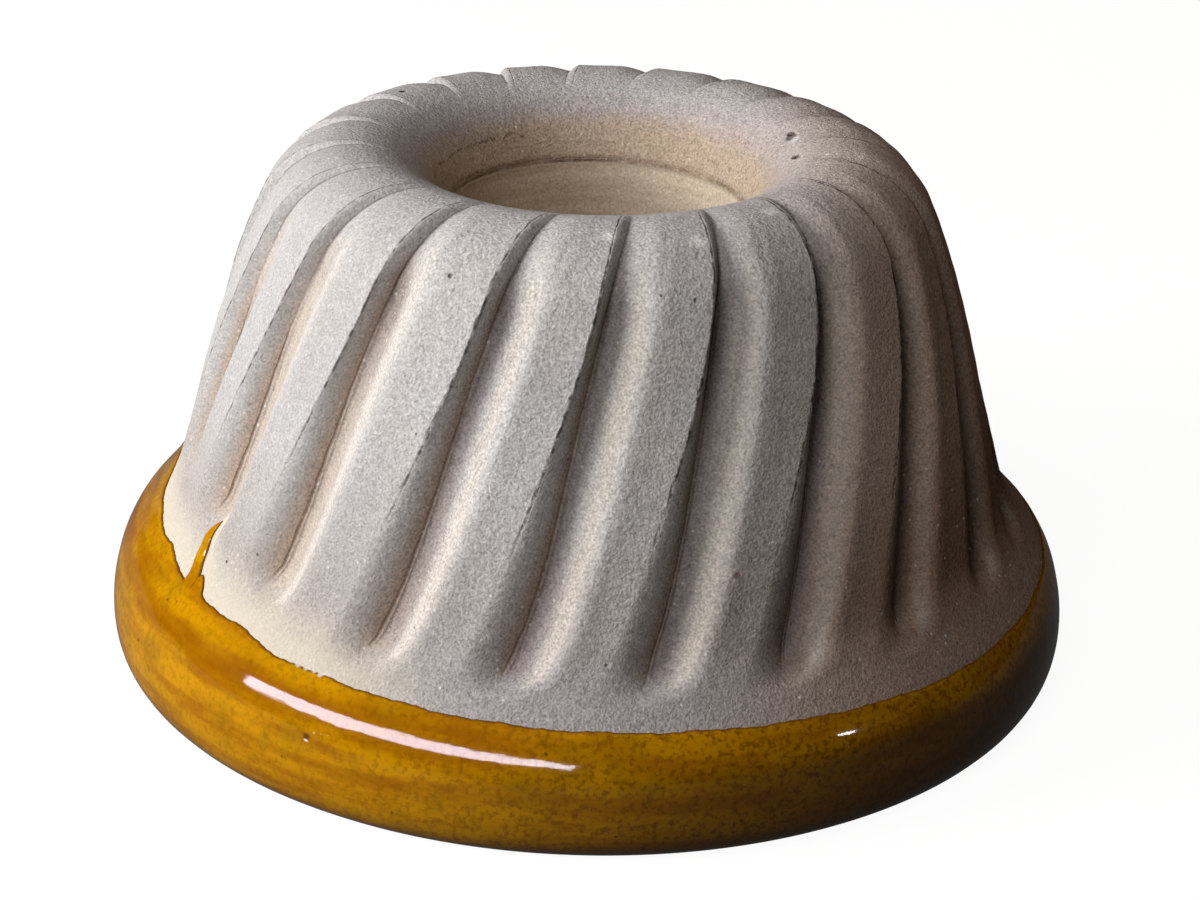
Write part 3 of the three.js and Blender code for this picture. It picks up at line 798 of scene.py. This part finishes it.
slip_share = np.linspace(0, 1, 7)
slip_line = seam + (tube_top - seam) * slip_share[:, None]
slip_line = slip_line - (SLIP_RECESS * np.sin(np.pi * slip_share))[:, None] * seam_normal
coil_lap_on_crown = LUTING_COIL_LAP * CROWN_SECTION_RADIUS / (CROWN_SECTION_RADIUS - WALL_THICKNESS)
coil_shell_end = np.array(off_face(*CLAY, AT_SEAM - coil_lap_on_crown, -WALL_THICKNESS))
coil_ridge = tube_top - (max(WALL_THICKNESS, CHIMNEY_WALL) + LUTING_COIL_BULGE) * seam_normal
coil_tube_end = np.array([outside_radius[-1], outside_height[-1]])
lip_inside = seam - WALL_THICKNESS * seam_normal
coil_line = [tube_top_outside, coil_tube_end, coil_ridge, coil_shell_end, lip_inside]
luting = np.concatenate([slip_line, coil_line])
slip_waver = np.concatenate([SLIP_WAVER * np.sin(np.pi * slip_share), np.zeros(len(coil_line))])
clay_luting = turned_piece("clay_luting", luting[:, 0], luting[:, 1], LUTING_COLUMNS, slip_waver,
                           np.linspace(0, 1, len(luting)))


def luting_finish():
    """Dry slip, darker than the clay beside it, coarse and broken in tone."""
    material, start = new_finish("dry_luting_slip")
    coords = start.node("ShaderNodeTexCoord", out="Object")
    tone, height = clay_grain(coords)
    broken = coords.noise(320, 2.0).step(0.35, 0.7)
    clay_surface(start, coords, broken.mix(srgb(152, 132, 114), srgb(182, 162, 144)), tone, 1.5 * height)
    return material


clay_luting.data.materials.append(luting_finish())
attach(clay_luting, "root")
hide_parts("luting_coil")

# Rim glaze
# Glossy honey-amber glaze on the rim, where the mould was dipped, from its wavering edge round to the cavity.
# It ran in one tongue on the left, thins to a soft edge and shows brown streaks and specks.

GLAZE_EDGE_THICKNESS = 0.00045
GLAZE_EDGE_ROUNDING = 0.0009
GLAZE_BED = 0.0003
RIM_GLAZE_INSIDE_HEIGHT = 0.007
GLAZE_THICKENS = (0.0005, 0.006)
RIM_GLAZE_COLUMNS = 1150
RIM_GLAZE_EDGE_ROWS = 26
RUN_CROWDING = 14
RUN_CROWDING_WIDTH = 3.0
BED_ROW_STEP = 4

join_share = (RIM_GLAZE_INSIDE_HEIGHT - GLAZE) / (waist_inside[1] - GLAZE)
glaze_join = foot_inner + (waist_inside - foot_inner) * join_share
INSIDE_LENGTH = np.linalg.norm(glaze_join - foot_inner)
RIM_FACE = np.concatenate([bezier(glaze_join, foot_inner, count=60)[:-1], CLAY_FACE])
RIM_ALONG = lengths_along(RIM_FACE) - INSIDE_LENGTH
RIM_NORMAL = outward(RIM_FACE, RIM_ALONG)


def run_gathered_azimuths(columns):
    """Azimuths round the rim, crowded at the run by a bell: the inverse of a running sum of a density."""
    even = np.linspace(-180, 180, 7201)
    density = 1 + RUN_CROWDING * bell(even, RUN_AZIMUTH, RUN_CROWDING_WIDTH)
    share = np.concatenate([[0], np.cumsum((density[1:] + density[:-1]) / 2)])
    return np.interp(np.arange(columns) / columns, share / share[-1], even)


rim_azimuth = run_gathered_azimuths(RIM_GLAZE_COLUMNS)[None]
rim_edge = glaze_edge(rim_azimuth)
fixed_length = np.concatenate([
    np.linspace(-INSIDE_LENGTH, 0, 7), np.linspace(0, AT_FOOT, 5)[1:],
    np.linspace(AT_FOOT, AT_WIDEST, 12)[1:], np.linspace(AT_WIDEST, AT_SHOULDER, 10)[1:]])[:, None]
towards_edge = 1 - np.linspace(1, 0, RIM_GLAZE_EDGE_ROWS + 1)[1:, None] ** 1.8
free_length = AT_SHOULDER + (rim_edge - AT_SHOULDER) * towards_edge
open_length = np.concatenate([fixed_length + 0 * rim_azimuth, free_length])
below_edge = rim_edge - open_length
rounding = np.sqrt(np.clip(1 - (1 - np.clip(below_edge / GLAZE_EDGE_ROUNDING, 0, 1)) ** 2, 0, 1))
thick = GLAZE_EDGE_THICKNESS + (GLAZE - GLAZE_EDGE_THICKNESS) * smooth_step(below_edge, *GLAZE_THICKENS)
wide_azimuth = rim_azimuth + run_lean(rim_azimuth, open_length)


def under_glaze(azimuth, length):
    """Rise of the clay under the glaze, from the shoulder up: its unevenness less the grooves' depth."""
    depth = FLUTE_DEPTH * fluting(length, azimuth) * groove_share(azimuth, length)
    return (unevenness(azimuth, length) - depth) * smooth_step(length, AT_WIDEST, AT_SHOULDER)


open_rise = under_glaze(wide_azimuth, open_length) + thick * rounding - GLAZE_BED * (1 - rounding)
bed_length = open_length[::-BED_ROW_STEP]
bed_azimuth = wide_azimuth[::-BED_ROW_STEP]
bed_rise = under_glaze(bed_azimuth, bed_length) - GLAZE_BED
rim_length = np.concatenate([open_length, bed_length])
rim_rise = np.concatenate([open_rise, bed_rise])
rim_radius, rim_height = off_face(RIM_FACE, RIM_NORMAL, RIM_ALONG, rim_length, rim_rise)
rim_across = np.append(rim_azimuth[0], 180)
rim_glaze_coat = ring_piece(
    "rim_glaze_coat", rim_radius, np.maximum(rim_height, 0), np.concatenate([wide_azimuth, bed_azimuth]),
    np.repeat(rim_across[None], len(rim_length), axis=0),
    np.concatenate([rim_length, rim_length[:, :1]], axis=1),
    {"below_edge": np.concatenate([below_edge, below_edge[::-BED_ROW_STEP]])})


def glaze_surface(start, colour, height, roughness):
    """Glossy glaze shader: a colour and a low roughness, with a bump that waves a little."""
    bump = start.node("ShaderNodeBump", None, {"Strength": 0.25, "Distance": 0.0006, "Height": height},
                      out="Normal")
    shader = start.node("ShaderNodeBsdfPrincipled", None, {
        "Base Color": colour, "Roughness": roughness, "Specular IOR Level": 0.3, "Normal": bump}, out="BSDF")
    start.node("ShaderNodeOutputMaterial", None, {"Surface": shader})


def amber_streaks(start, coords):
    """Amber colour with level streaks, olive clouds, brown mottle and specks, and the height of its waves."""
    level = start.node("ShaderNodeMapping", None, {"Vector": coords, "Scale": (34, 34, 230)}, out="Vector")
    streak = level.noise(1.0, 4.0, 0.6)
    cloud = coords.noise(90, 3.0, 0.6)
    fine = coords.noise(760, 3.0, 0.65)
    colour = streak.step(0.38, 0.66).mix(srgb(206, 145, 5), srgb(172, 109, 4))
    colour = (0.6 * cloud.step(0.48, 0.7)).mix(colour, srgb(164, 121, 8))
    sideways = coords.part("X")
    mottle = (0.35 + 0.45 * sideways.step(-0.07, 0.03)) * fine.step(0.44, 0.66)
    colour = mottle.mix(colour, srgb(126, 78, 4))
    specks = coords.specks(420, 0.2, 0.12) * cloud.step(0.4, 0.6)
    colour = (0.8 * specks).mix(colour, srgb(66, 34, 6))
    return colour, 0.4 * coords.noise(140, 2.0) + 0.06 * fine + 0.2 * streak


# Single marks on the glaze, written as those on the clay are
PINHOLE = [(0.0012, -31.3, 0.0284)]
CRACK = [(0.0005, -30.9, 0.0269), (0.0005, -30.3, 0.0259), (0.0005, -29.8, 0.0249),
         (0.0005, -29.3, 0.024), (0.0005, -28.8, 0.023), (0.0005, -28.3, 0.0221)]
# Painted highlights: pale glints along the glaze's edge
GLAZE_EDGE_GLINTS = [(0.001, -36.8, 0.0422), (0.0012, -35.6, 0.042), (0.001, -34.4, 0.0418),
              (0.0008, -33.2, 0.0417), (0.0009, -32.2, 0.0414)]
# A painted highlight: the reflection on wrinkled glaze beside the pinhole
WRINKLE_GLINT = [(0.0006, -30.5, 0.0297), (0.0005, -29.6, 0.0299), (0.0005, -28.7, 0.0301)]


def rim_glaze_finish():
    """Amber glaze, browner in a band along the shoulder and in a thin line where it ends, with painted shade
    low on the right and towards the foot.

    It has one pinhole with a crack, a painted highlight on wrinkled glaze beside it, and painted glints near
    its edge.
    """
    material, start = new_finish("amber_rim_glaze")
    coords = start.node("ShaderNodeTexCoord", out="Object")
    surface = start.node("ShaderNodeUVMap", {"uv_map": "surface"}, out="UV")
    length = surface.part("Y")
    below = start.node("ShaderNodeAttribute", {"attribute_name": "below_edge"}, out="Fac")
    colour, height = amber_streaks(start, coords)
    waver = coords.noise(70, 3.0) - 0.5
    band = (length + 0.006 * waver).line(AT_SHOULDER + 0.0035, 0.0045)
    sideways = coords.part("X")
    colour = ((0.55 - 0.4 * sideways.step(-0.06, 0.0)) * band).mix(colour, srgb(138, 74, 2))
    # Painted shade: the glaze below the shoulder dark on the right
    painted_shade_right = sideways.step(-0.06, 0.08) * length.step(AT_SHOULDER + 0.002, AT_SHOULDER - 0.005)
    colour = (0.8 * painted_shade_right).mix(colour, srgb(74, 44, 4))
    line = (below + 0.0003 * waver).step(0.0008, 0.0002)
    colour = (0.75 * line).mix(colour, srgb(92, 52, 10))
    # Painted shade: the glaze darker towards the foot, below the rim's widest point
    foot = length.step(AT_WIDEST - 0.002, AT_FOOT + 0.003)
    colour = (0.6 * foot).mix(colour, srgb(104, 66, 10))
    pinhole = marks_on(coords, PINHOLE)
    crack = marks_on(coords, CRACK)
    colour = (0.7 * (pinhole + crack)).mix(colour, srgb(70, 36, 14))
    # Painted highlights: glints near the glaze's edge and on wrinkled glaze
    glints = marks_on(coords, GLAZE_EDGE_GLINTS)
    wrinkle_glint = marks_on(coords, WRINKLE_GLINT)
    colour = (0.8 * glints + 0.5 * wrinkle_glint).mix(colour, srgb(238, 232, 226))
    glaze_surface(start, colour, height - 1.5 * pinhole, 0.06)
    return material


rim_glaze_coat.data.materials.append(rim_glaze_finish())
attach(rim_glaze_coat, "root")
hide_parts("rim_glaze")

# Cavity glaze
# The same glaze over the wall and crown on the cavity side, where the batter goes.
# It follows the soft ribs that the flutes press through the clay, and joins the rim's coat near the foot.

CAVITY_GLAZE_COLUMNS = SHELL_COLUMNS // 2
CAVITY_GLAZE_ROWS = 60
CAVITY_FLARE_ROWS = 7

cavity_way = np.linspace(AT_SEAM - coil_lap_on_crown, AT_WAIST, CAVITY_GLAZE_ROWS)
lining_azimuth = shell_azimuths(cavity_way)[:, ::2]
lining_inset = WALL_THICKNESS + CAVITY_FLUTE_DEPTH * swell[::2] * cavity_ribs(cavity_way)[:, None]
bed = off_face(*CLAY, cavity_way[:, None], -lining_inset + GLAZE_BED)
face = off_face(*CLAY, cavity_way[:, None], -lining_inset - GLAZE)
flare_normal = np.array([-(waist_inside - foot_inner)[1], (waist_inside - foot_inner)[0]])
flare_normal = flare_normal / np.linalg.norm(flare_normal)
flare_way = np.linspace(1, 0, CAVITY_FLARE_ROWS + 1)[1:, None]
flare_face = glaze_join + (waist_inside - glaze_join) * flare_way + GLAZE * flare_normal
flare_bed = glaze_join + (waist_inside - glaze_join) * flare_way - GLAZE_BED * flare_normal
flat = np.ones((1, CAVITY_GLAZE_COLUMNS))
ridge_face = (coil_ridge - GLAZE * seam_normal)[:, None, None] * flat
ridge_bed = (coil_ridge + GLAZE_BED * seam_normal)[:, None, None] * flat
lining_rows = [np.concatenate([ridge_face[k], face[k], flare_face[:, k:k + 1] * flat,
                               flare_bed[::-1, k:k + 1] * flat, bed[k][::-1], ridge_bed[k]]) for k in (0, 1)]
foot_rows = np.repeat(lining_azimuth[-1:], 2 * CAVITY_FLARE_ROWS, axis=0)
lining_turn = np.concatenate([lining_azimuth[:1], lining_azimuth, foot_rows,
                              lining_azimuth[::-1], lining_azimuth[:1]])
lining_map = np.linspace(0, 1, CAVITY_GLAZE_COLUMNS + 1)[None] + np.zeros((len(lining_turn), 1))
cavity_glaze_coat = ring_piece("cavity_glaze_coat", lining_rows[0], lining_rows[1], lining_turn, lining_map,
                               np.linspace(0, 1, len(lining_turn))[:, None] + 0 * lining_map)


def lining_finish(name):
    """Amber glaze without an edge, as on the rim."""
    material, start = new_finish(name)
    coords = start.node("ShaderNodeTexCoord", out="Object")
    colour, height = amber_streaks(start, coords)
    glaze_surface(start, colour, height, 0.08)
    return material


cavity_glaze_coat.data.materials.append(lining_finish("amber_cavity_glaze"))
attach(cavity_glaze_coat, "root")
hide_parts("cavity_glaze")

# Chimney glaze
# The same glaze over the cavity side of the chimney, from the luting coil down round its lower end.
# It was poured in with the rest of the coat and ends at the edge of the bore.

CHIMNEY_GLAZE_ROWS = 40
CHIMNEY_END_ROWS = 8

tube_length = np.linspace(LUTING_COIL_LAP, BORE_LENGTH, CHIMNEY_GLAZE_ROWS)
tube_face = np.stack(off_face(*BORE_FACE, tube_length, -CHIMNEY_WALL - GLAZE), axis=1)
tube_bed = np.stack(off_face(*BORE_FACE, tube_length, -CHIMNEY_WALL + GLAZE_BED), axis=1)
end_drop = GLAZE * np.array([0, -1.0])
end_share = np.linspace(0, 1, CHIMNEY_END_ROWS)[:, None]
end_bulge = np.sqrt(np.clip(1 - (2 * end_share - 1) ** 6, 0, 1))
end_face = tube_bed[-1] + (BORE[-1] - tube_bed[-1]) * end_share + end_drop * end_bulge
chimney_glaze_section = np.concatenate([
    [coil_ridge + GLAZE_BED * seam_normal], tube_bed, end_face[::-1], tube_face[::-1],
    [coil_ridge - GLAZE * seam_normal]])
chimney_glaze_coat = turned_piece(
    "chimney_glaze_coat", chimney_glaze_section[:, 0], chimney_glaze_section[:, 1], CHIMNEY_COLUMNS,
    np.zeros(len(chimney_glaze_section)), np.linspace(0, 1, len(chimney_glaze_section)))
chimney_glaze_coat.data.materials.append(lining_finish("amber_chimney_glaze"))
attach(chimney_glaze_coat, "root")
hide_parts("chimney_glaze")

# Floor
# A plain white studio floor that the mould stands on; it keeps the mould's soft shadow.
# It glows for the camera, and only faintly in the glaze's reflections.

FLOOR_HALF = 4.0
FLOOR_GLOW = 0.95
FLOOR_REFLECTED = 0.05
FLOOR_COLOUR = (0.12, 0.12, 0.12, 1)

floor_mesh = bpy.data.meshes.new("studio_floor")
corners = FLOOR_HALF * np.array([[-1, -1, 0], [1, -1, 0], [1, 1, 0], [-1, 1, 0]])
floor_mesh.from_pydata(corners.tolist(), [], [(0, 1, 2, 3)])
floor = bpy.data.objects.new("studio_floor", floor_mesh)
bpy.context.scene.collection.objects.link(floor)
floor_material, floor_start = new_finish("white_studio_floor")
seen = (floor_start.node("ShaderNodeLightPath", out="Is Camera Ray")
        + FLOOR_REFLECTED * floor_start.node("ShaderNodeLightPath", out="Is Glossy Ray")
        + floor_start.node("ShaderNodeLightPath", out="Is Transmission Ray"))
plain_floor = floor_start.node("ShaderNodeBsdfDiffuse", None, {"Color": FLOOR_COLOUR}, out="BSDF")
floor_glow = floor_start.node("ShaderNodeEmission", None, {"Color": FLOOR_GLOW * seen, "Strength": 1.0})
floor_sum = floor_start.node("ShaderNodeAddShader", None, {0: plain_floor, 1: floor_glow})
floor_start.node("ShaderNodeOutputMaterial", None, {"Surface": floor_sum})
floor_mesh.materials.append(floor_material)

# Light
# A soft key light and a lower one on the left, weaker light from the front, faint warm light from the back
# and the right, and two lamps that show only in the glaze: a long strip at the front left and a spark at
# the right.

LIGHT_TARGET = Vector((0, 0, 0.05))


def lamp(name, azimuth, elevation, distance, size, power, colour=(1, 1, 1), mirrored=False):
    """Rectangular lamp that faces the mould from an azimuth and an elevation, in degrees.

    A mirrored lamp shows only in reflections, and any other lamp lights the mould but doesn't show in them.
    """
    turn = math.radians(azimuth)
    rise = math.radians(elevation)
    way = Vector((math.sin(turn) * math.cos(rise), -math.cos(turn) * math.cos(rise), math.sin(rise)))
    data = bpy.data.lights.new(name, "AREA")
    data.shape = "RECTANGLE"
    data.size, data.size_y = size
    data.energy = power
    data.color = colour
    shining = bpy.data.objects.new(name, data)
    shining.location = LIGHT_TARGET + distance * way
    shining.rotation_euler = (-way).to_track_quat("-Z", "Y").to_euler()
    shining.visible_glossy = mirrored
    shining.visible_diffuse = not mirrored
    bpy.context.scene.collection.objects.link(shining)


WARM = (1.0, 0.74, 0.56)
lamp("key_light", -67, 24, 1.3, (0.5, 0.5), 10.6)
lamp("left_light", -90, 18, 1.3, (0.5, 0.5), 8)
lamp("front_light", -25, 45, 1.3, (0.5, 0.5), 4.6, (1.0, 0.97, 0.94))
lamp("back_light", 157, 22, 1.3, (0.6, 0.6), 1.2, WARM)
lamp("right_light", 112, 6, 1.3, (0.4, 0.4), 0.12, WARM)
lamp("strip_light", -42, 17, 1.2, (1.92, 0.15), 26, (0.88, 0.85, 1.0), mirrored=True)
lamp("spark_light", 60, 14, 1.0, (0.05, 0.03), 0.3, mirrored=True)

world = bpy.data.worlds.new("studio_world")
world.use_nodes = True
world.node_tree.nodes["Background"].inputs["Color"].default_value = (1.0, 0.86, 0.74, 1)
world.node_tree.nodes["Background"].inputs["Strength"].default_value = 0.012
bpy.context.scene.world = world

# Camera
# The viewpoint of the reference view: from the front, about 24 degrees above the mould, through a long lens.
# Its angles are in radians, and its focal length is in pixels of the image.

CAMERA_DISTANCE = 0.638
CAMERA_AIM_HEIGHT = 0.0495
CAMERA_ELEVATION = 0.412
CAMERA_YAW = 0.0032
CAMERA_PITCH = -0.0092
CAMERA_ROLL = 0.028
CAMERA_FOCAL_PIXELS = 2778
IMAGE_WIDTH = 1200
SENSOR_WIDTH = 36

eye = Vector((0, -CAMERA_DISTANCE * math.cos(CAMERA_ELEVATION),
              CAMERA_AIM_HEIGHT + CAMERA_DISTANCE * math.sin(CAMERA_ELEVATION)))
level_forward = Vector((0, math.cos(CAMERA_ELEVATION), -math.sin(CAMERA_ELEVATION)))
level_right = Vector((1, 0, 0))
level_up = level_right.cross(level_forward)
forward = (level_forward * math.cos(CAMERA_YAW) * math.cos(CAMERA_PITCH)
           + level_right * math.sin(CAMERA_YAW) * math.cos(CAMERA_PITCH) + level_up * math.sin(CAMERA_PITCH))
side = forward.cross(Vector((0, 0, 1))).normalized()
upright = side.cross(forward)
right = side * math.cos(CAMERA_ROLL) + upright * math.sin(CAMERA_ROLL)
up = upright * math.cos(CAMERA_ROLL) - side * math.sin(CAMERA_ROLL)
camera_data = bpy.data.cameras.new("reference_camera")
camera_data.sensor_width = SENSOR_WIDTH
camera_data.lens = CAMERA_FOCAL_PIXELS * SENSOR_WIDTH / IMAGE_WIDTH
camera_data.clip_start = 0.01
camera = bpy.data.objects.new("reference_camera", camera_data)
camera.matrix_world = Matrix.Translation(eye) @ Matrix((right, up, -forward)).transposed().to_4x4()
bpy.context.scene.collection.objects.link(camera)
bpy.context.scene.camera = camera
bpy.context.scene.view_settings.view_transform = "Standard"
